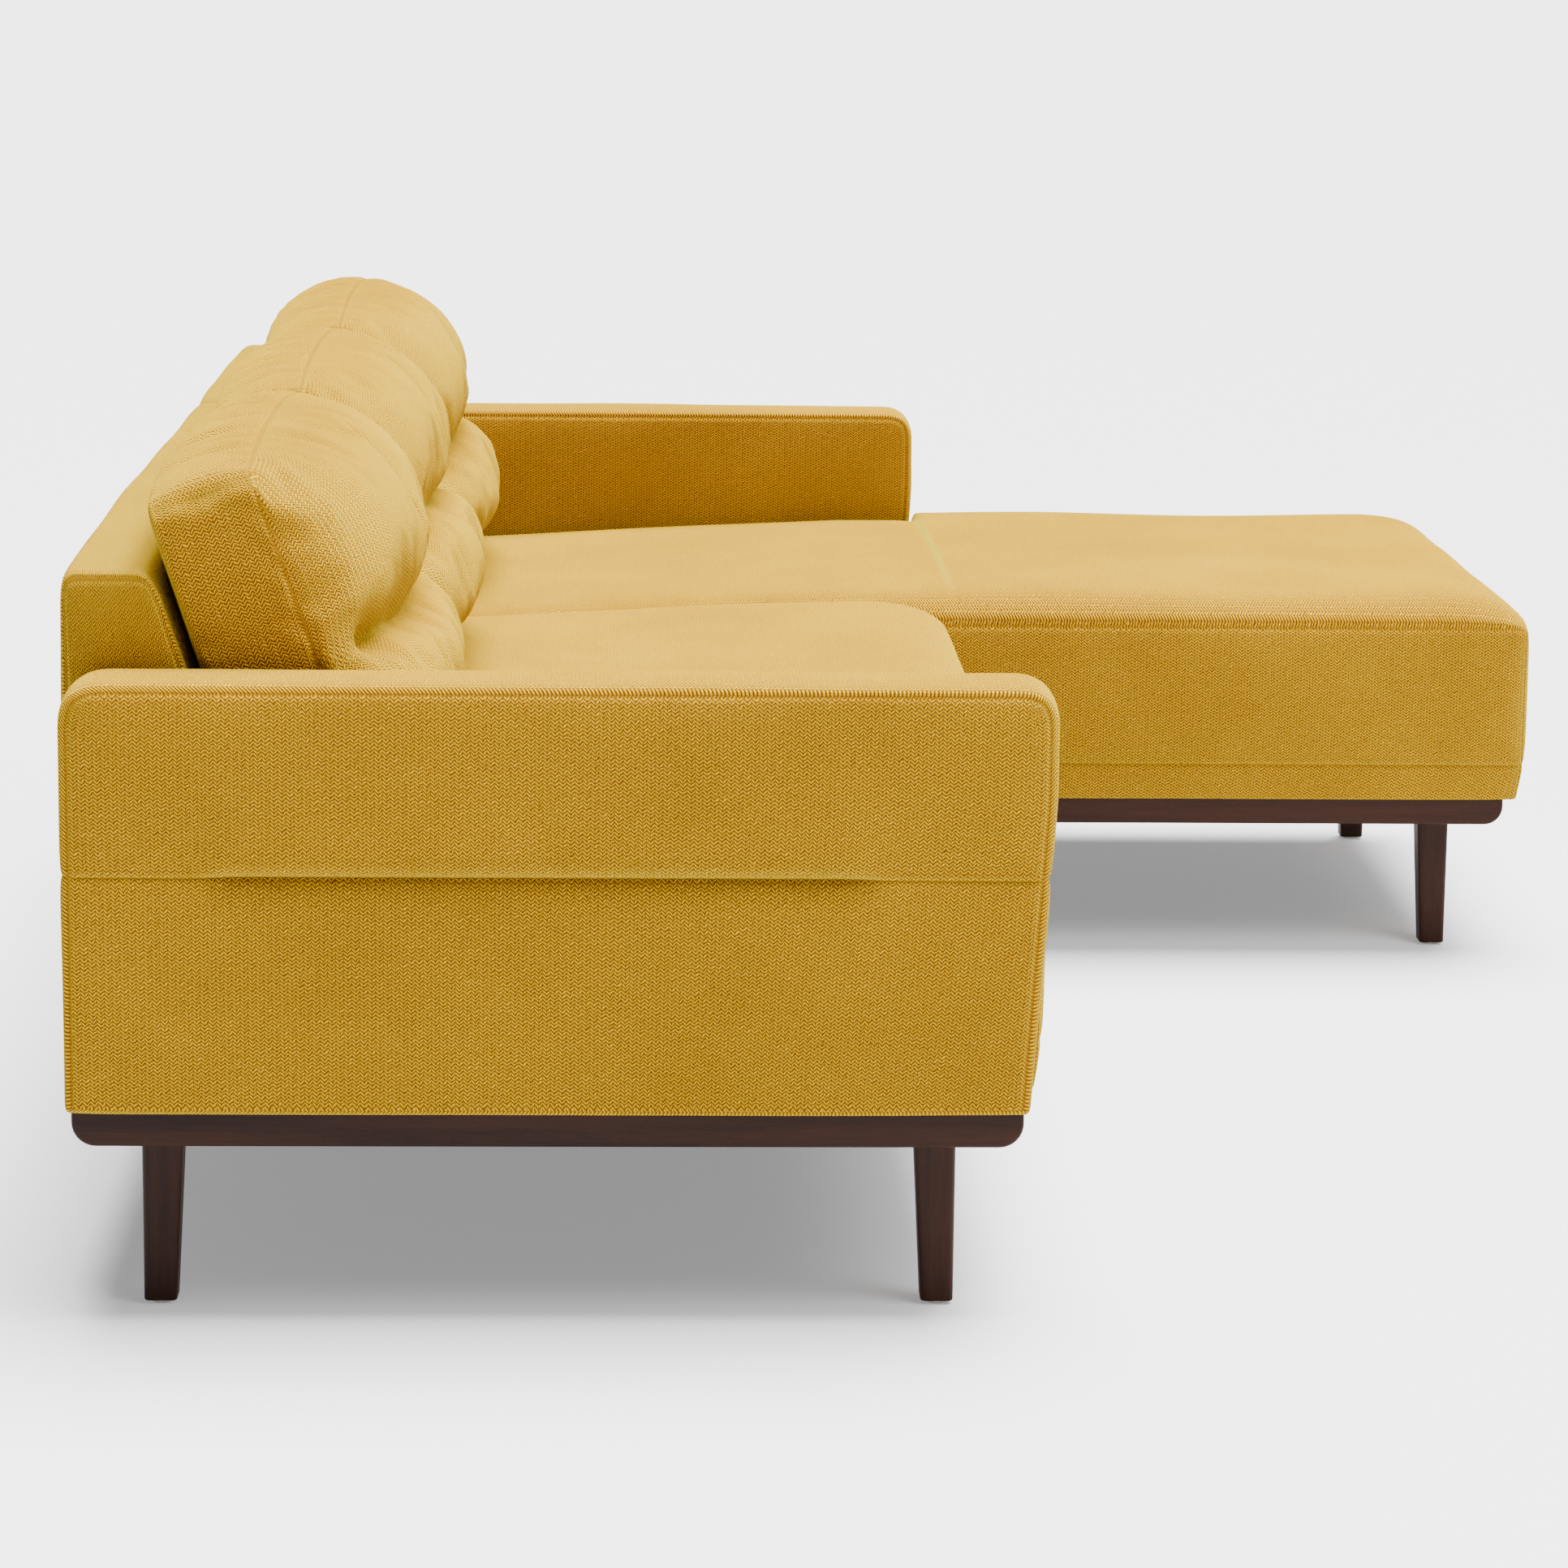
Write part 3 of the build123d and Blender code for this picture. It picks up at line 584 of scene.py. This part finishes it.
def makeSeat(module, seed):
    # boxing between two seams, a tucked band below it, and above it a top panel that falls at its edges
    low, high = cadBox(f"{module}_seat_core", f"{module}_seat_topper", f"{module}_base_border")
    pad, sidePad = seat["pad"], seat["sidePad"][module]
    low, high = low + (sidePad, pad, 0), high - (sidePad, 0, pad)
    crown, rearEdge = high[2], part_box(f"{module}_seat_topper")[0][2] + seat["rearLift"]
    centre, half = (low + high) / 2, (high - low) / 2
    xs = spacedPoints([low[0], high[0]], seat["step"])
    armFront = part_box(f"{module}_arm_padding")[0]
    wingEnd, armStart = (armFront[1] - gap for gap in seat["armGap"])
    stops = [wingEnd, armStart] if module == "chaise" else []
    ys = spacedPoints([low[1], *stops, high[1]], seat["step"])
    zs = spacedPoints([low[2], seat["lowerSeam"], seat["upperSeam"]], seat["step"])
    flat, squares, axes = boxGrid(xs, ys, zs)
    p, q = flat[:, 0] - centre[0], flat[:, 1] - centre[1]
    edge = np.minimum(half[0] - np.abs(p), half[1] - np.abs(q))
    onTop = flat[:, 2] > seat["upperSeam"] - 1e-6
    rimDistance = edge + (seat["upperSeam"] - flat[:, 2])
    cornerGap = np.maximum(half[0] - np.abs(p), half[1] + q) + np.where(q < 0, 0, 1.0)
    distance = np.minimum(rimDistance, np.abs(flat[:, 2] - seat["lowerSeam"]) + edge)
    distance = np.minimum(distance, np.where(onTop, 1.0, cornerGap))
    foot = np.clip((seat["lowerSeam"] - flat[:, 2]) / (seat["lowerSeam"] - low[2]), 0, 1)
    footShare = seat["footShare"][module]
    radius = np.where(q < 0, seat["cornerRadius"] * (1 + (footShare - 1) * foot), seat["rearRadius"])
    p2, q2 = roundOutline(p, q, half[0], half[1], radius, 0.0)
    # height of the top panel: level over the front, falling to the rear, round at its edges
    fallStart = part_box("sofa_seat_core")[0][1] + seat["nose"]
    fall = np.clip((flat[:, 1] - fallStart) / (high[1] - fallStart), 0, 1)
    level = crown + (rearEdge - crown) * fall
    front = quarterRound((flat[:, 1] - low[1]) / seat["nose"])
    # beside the arm the top panel is pressed up against it, and falls away in a much tighter curve
    outward = -1 if module == "sofa" else 1
    besideArm = (p * outward > 0) & (flat[:, 1] > armFront[1] + seat["armGap"][0])
    sides = quarterRound((half[0] - np.abs(p)) / np.where(besideArm, seat["armNose"], seat["sideNose"]))
    rearRound = quarterRound((high[1] - flat[:, 1]) / seat["sideNose"])
    rear = seat["rearShare"] + (1 - seat["rearShare"]) * rearRound
    rise = (level - seat["upperSeam"]) * front * sides * rear
    z = np.where(onTop, seat["upperSeam"] + rise, flat[:, 2])
    # the band under the lower seam leans in
    tuck = foot * seat["bandTuck"]
    sideTuck = tuck * (module == "chaise")  # the sofa's sides stand against its arm and the chaise
    x = centre[0] + p2 * (1 - sideTuck / half[0])
    y = centre[1] + q2 + tuck * smooth(-q / half[1])
    if module == "chaise":
        # behind the arm's front the seat is narrower: its right side steps in
        narrow = armFront[0] - pad
        step = smooth((y - wingEnd) / (armStart - wingEnd))
        # the wing's rear side leans back with the foot of the arm that it stands against
        lean = np.clip((arm["waist"] - flat[:, 2]) / (arm["waist"] - low[2]), 0, 1)
        nearArm = np.exp(-(((y - armFront[1]) / seat["armReach"]) ** 2)) * smooth(p / half[0])
        y = y + arm["footTuck"] * lean * nearArm
        narrowShare = (narrow - low[0]) / (high[0] - low[0])
        x = np.where(step > 0, low[0] + (x - low[0]) * (1 + step * (narrowShare - 1)), x)
    points = np.stack([x, y, z], 1)
    points = upholster(points, squares, distance, dict(seat["style"], seed=seed))
    points[:, 2] = np.maximum(points[:, 2], low[2] + footGap)
    piece = makeMesh(f"{module}_seat_cover", points, squares, axes, flat, distance)
    dress(piece, f"{module}_module", "upholstery", seat["fill"], f"{module}_seat_core",
          f"{module}_seat_topper", f"{module}_base_border")


makeSeat("sofa", 31)
makeSeat("chaise", 32)
print("seats made")


cushion = {
    "step": 0.010,
    "lean": radians(19),
    "height": 0.330,  # along the lean
    "boxing": 0.096,
    "rearGap": 0.011,  # in front of the foam's rear face
    "sideGap": 0.002,
    "heel": 0.4135,
    "seatLevel": 0.4115,  # at the cushions' rear, and how much it rises towards the front
    "seatRise": 0.042,
    "seatRun": 0.7,
    "cornerRadius": 0.020,
    "crown": 0.092,
    "rearCrown": 0.012,
    "topBow": 0.017,
    "creaseHeight": 0.140,  # along the lean
    "creaseDepth": 0.034,
    "creaseWidth": 0.017,
    "dartReach": 0.15,  # share of the width where the crease dies out
    "frames": 18,
    "pressure": 4.0,
    "cap": 0.018,
    "shrink": -0.035,
    "stiffness": 18,
    "shear": 8,
    "bending": 0.6,
    "fill": 0.75,
    "gatherHeight": 0.0022,
    "gatherReach": 0.032,
    "style": {"swell": 0.003, "reach": 0.020, "groove": 0.0013, "width": 0.0028, "rippleLength": 0.12,
              "rippleHeight": 0.0016},
}


def inflate(piece, pinned, cap):
    # cloth simulation: the held points stay, the rest swells under pressure, no further than the cap
    mesh = piece.data
    start = np.empty(len(mesh.vertices) * 3, np.float32)
    mesh.vertices.foreach_get("co", start)
    held = piece.vertex_groups.new(name="held")
    held.add([int(index) for index in np.flatnonzero(pinned)], 1.0, "REPLACE")
    cloth = piece.modifiers.new("cloth", "CLOTH")
    settings = cloth.settings
    settings.quality = 6
    settings.mass = 0.35
    settings.tension_stiffness = settings.compression_stiffness = cushion["stiffness"]
    settings.shear_stiffness = cushion["shear"]
    settings.bending_stiffness = cushion["bending"]
    settings.effector_weights.gravity = 0
    settings.use_pressure = True
    settings.uniform_pressure_force = cushion["pressure"]
    settings.shrink_min = cushion["shrink"]
    settings.vertex_group_mass = "held"
    cloth.collision_settings.use_collision = False
    cloth.point_cache.frame_start, cloth.point_cache.frame_end = 1, cushion["frames"]
    for step in range(1, cushion["frames"] + 1):
        scene.frame_set(step)
    swollen = piece.evaluated_get(bpy.context.evaluated_depsgraph_get()).to_mesh()
    end = np.empty_like(start)
    swollen.vertices.foreach_get("co", end)
    piece.evaluated_get(bpy.context.evaluated_depsgraph_get()).to_mesh_clear()
    piece.modifiers.remove(cloth)
    piece.vertex_groups.remove(held)
    scene.frame_set(1)
    move = (end - start).reshape(-1, 3)
    length = np.linalg.norm(move, axis=1, keepdims=True)
    move *= np.minimum(1, cap / np.maximum(length, 1e-9))
    return start.reshape(-1, 3) + move


def unroll(points, flat, onPanel, xs, us):
    # flat places of a domed panel: each row's and each column's length along the surface, from the middle
    column = np.searchsorted(xs, flat[onPanel, 0] - 1e-7)
    row = np.searchsorted(us, flat[onPanel, 2] - 1e-7)
    grid = np.zeros((len(xs), len(us), 3))
    grid[column, row] = points[onPanel]
    lengths = []
    for axis in (0, 1):
        steps = np.linalg.norm(np.diff(grid, axis=axis), axis=2)
        travelled = np.insert(np.cumsum(steps, axis=axis), 0, 0, axis=axis)
        centre = np.take(travelled, [grid.shape[axis] // 2], axis=axis)
        lengths.append(travelled - centre)
    unrolled = flat.copy()
    unrolled[onPanel, 0] = lengths[0][column, row]
    unrolled[onPanel, 2] = lengths[1][column, row]
    return unrolled


def makeCushion(name, body, seed):
    # built flat, width by height by thickness, then leant back: crowned front, boxing, a pulled-in crease
    low, high = cadBox(f"{name}_cover")
    rng = np.random.default_rng(seed)
    halfWidth = (high[0] - low[0]) / 2 - cushion["sideGap"]
    middle = (low[0] + high[0]) / 2
    halfHeight = cushion["height"] / 2
    xs = spacedPoints([-halfWidth, halfWidth], cushion["step"])
    us = spacedPoints([0.0, cushion["creaseHeight"], cushion["height"]], cushion["step"], (0.006,))
    vs = spacedPoints([0.0, cushion["boxing"]], cushion["step"])
    flat, squares, axes = boxGrid(xs, vs, us)
    flat[:, 1] = cushion["boxing"] - flat[:, 1]  # the front panel looks towards low Y
    s, v, u = flat.T
    q = u - halfHeight
    across, along = s / halfWidth, q / halfHeight
    rim = np.minimum(halfWidth - np.abs(s), halfHeight - np.abs(q))
    frontGap, rearGap = cushion["boxing"] - v, v
    distance = np.minimum(rim + frontGap, rim + rearGap)
    s2, q2 = roundOutline(s, q, halfWidth, halfHeight, cushion["cornerRadius"], 0.0)
    # dome: ((1 - |x|^2.6) (1 - |y|^n))^0.55, n being 2.2 above the middle and 5 towards the full toe
    power = np.where(along < 0, 5.0, 2.2)
    dome = (np.maximum(1 - np.abs(across) ** 2.6, 0) * np.maximum(1 - np.abs(along) ** power, 0)) ** 0.55
    onFront, onRear = frontGap < 1e-6, rearGap < 1e-6
    fullness = cushion["crown"] * rng.uniform(0.94, 1.04)
    depth = v + np.where(onFront, fullness * dome, 0) - np.where(onRear, cushion["rearCrown"] * dome, 0)
    wander = 0.006 * np.sin(across * 3.1 + rng.uniform(0, 6)) + 0.003 * np.sin(across * 8 + rng.uniform(0, 6))
    creaseGap = u - cushion["creaseHeight"] - wander
    ends = smooth((1 - np.abs(across)) / cushion["dartReach"] - 0.35)
    crease = np.exp(-((creaseGap / cushion["creaseWidth"]) ** 2)) * ends
    depth -= np.where(onFront, cushion["creaseDepth"] * crease, 0)
    # small gathers hang from the crease
    gathers = np.sin(s / 0.013 + 2.2 * np.sin(s / 0.05 + seed)) * np.sin(s / 0.031 + seed * 2.0)
    hang = np.exp(-np.abs(creaseGap) / cushion["gatherReach"]) * (1 - 0.6 * crease)
    depth += np.where(onFront, cushion["gatherHeight"] * gathers * hang * ends, 0)
    bow = cushion["topBow"] * np.maximum(1 - np.abs(across) ** 2.5, 0) * smooth(along)
    height = q2 + halfHeight + bow
    lean = cushion["lean"]
    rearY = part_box("sofa_seat_core")[1][1] - cushion["rearGap"]
    y = rearY - depth * cos(lean) + height * sin(lean)
    z = cushion["heel"] + height * cos(lean) + depth * sin(lean)
    points = np.stack([s2 + middle, y, z], 1)
    # the toe rests flat on the seat
    floorLine = cushion["seatLevel"] + cushion["seatRise"] * np.clip((rearY - y) / cushion["seatRun"], 0, 1)
    points[:, 2] = np.maximum(points[:, 2], floorLine)
    if pointNormals(points, squares)[np.argmin(y)][1] > 0:
        squares = squares[:, ::-1]
    piece = makeMesh(f"{name}_case", points, squares, axes, flat, distance, levels=0)
    pinned = (rim + np.minimum(frontGap, rearGap) < 0.0015) | (onFront & (crease > 0.80)) | onRear
    points = inflate(piece, pinned, cushion["cap"]).astype(np.float64)
    points = upholster(points, squares, distance, dict(cushion["style"], seed=seed))
    points[:, 0] = np.clip(points[:, 0], low[0] + 0.0003, high[0] - 0.0003)
    points[:, 2] = np.maximum(points[:, 2], floorLine)
    bpy.data.objects.remove(piece)
    frontMap = unroll(points, flat, onFront, xs, us)
    piece = makeMesh(f"{name}_case", points, squares, axes, flat, distance, frontMap=frontMap)
    dress(piece, body, "cushion_fabric", cushion["fill"], f"{name}_cover", f"{name}_filling")
    print(name, "made, highest at", round(float(points[:, 2].max()), 4), "m")


makeCushion("cushion_left", "back_cushion_left", 41)
makeCushion("cushion_middle", "back_cushion_middle", 42)
makeCushion("cushion_chaise", "back_cushion_chaise", 43)
print("cushions made")


studio = {
    "floorSize": 60.0,
    "floorColour": (0.48, 0.48, 0.485),
    "floorGlow": 0.3,
    "skyStrength": 0.30,
    "keyPlace": (-2.1, -2.4, 3.6),
    "keyPower": 240.0,
    "sunStrength": 26.0,
    "sunAngle": radians(42),
    "sunTilt": (radians(8), radians(12), 0),
}

floorMesh = bpy.data.meshes.new("floor")
reach = studio["floorSize"]
floorCorners = [(-reach, -reach, 0), (reach, -reach, 0), (reach, reach, 0), (-reach, reach, 0)]
floorMesh.from_pydata(floorCorners, [], [(0, 1, 2, 3)])
floor = bpy.data.objects.new("floor", floorMesh)
scene.collection.objects.link(floor)
floorMaterial = Nodes("pale_floor")
floorMesh.materials.append(floorMaterial.shade(
    studio["floorColour"], 0.8, Specular_IOR_Level=0.1, Emission_Color=(0.97, 0.98, 1.0, 1.0),
    Emission_Strength=studio["floorGlow"]))

world = bpy.data.worlds.new("studio")
world.use_nodes = True
sky = world.node_tree.nodes["Background"]
sky.inputs["Color"].default_value = (1, 1, 1, 1)
sky.inputs["Strength"].default_value = studio["skyStrength"]
scene.world = world


def softbox(name, place, target, size, power):
    light = bpy.data.lights.new(name, "AREA")
    light.shape = "SQUARE"
    light.size = size
    light.energy = power
    lamp = bpy.data.objects.new(name, light)
    lamp.location = place
    lamp.rotation_euler = (Vector(target) - Vector(place)).to_track_quat("-Z", "Y").to_euler()
    scene.collection.objects.link(lamp)


softbox("key", studio["keyPlace"], (0.4, 0, 0.4), 2.4, studio["keyPower"])
overhead = bpy.data.lights.new("overhead", "SUN")
overhead.energy = studio["sunStrength"]
overhead.angle = studio["sunAngle"]
overheadLamp = bpy.data.objects.new("overhead", overhead)
overheadLamp.rotation_euler = studio["sunTilt"]
scene.collection.objects.link(overheadLamp)

view = {
    "place": (-5.138, 0.2982, 1.2842),
    "yaw": 0.0362,
    "pitch": 0.1934,
    "roll": 0.0116,
    "lens": 106.17,
}

flatReach = cos(view["pitch"])
forward = Vector((cos(view["yaw"]) * flatReach, -sin(view["yaw"]) * flatReach, -sin(view["pitch"])))
level = Vector((-sin(view["yaw"]), -cos(view["yaw"]), 0))
upright = level.cross(forward)
right = level * cos(view["roll"]) + upright * sin(view["roll"])
upward = upright * cos(view["roll"]) - level * sin(view["roll"])
lensData = bpy.data.cameras.new("camera")
lensData.lens = view["lens"]
camera = bpy.data.objects.new("camera", lensData)
turn = Matrix((right, upward, -forward)).transposed().to_4x4()
turn.translation = view["place"]
camera.matrix_world = turn
scene.collection.objects.link(camera)
scene.camera = camera
print("studio ready")
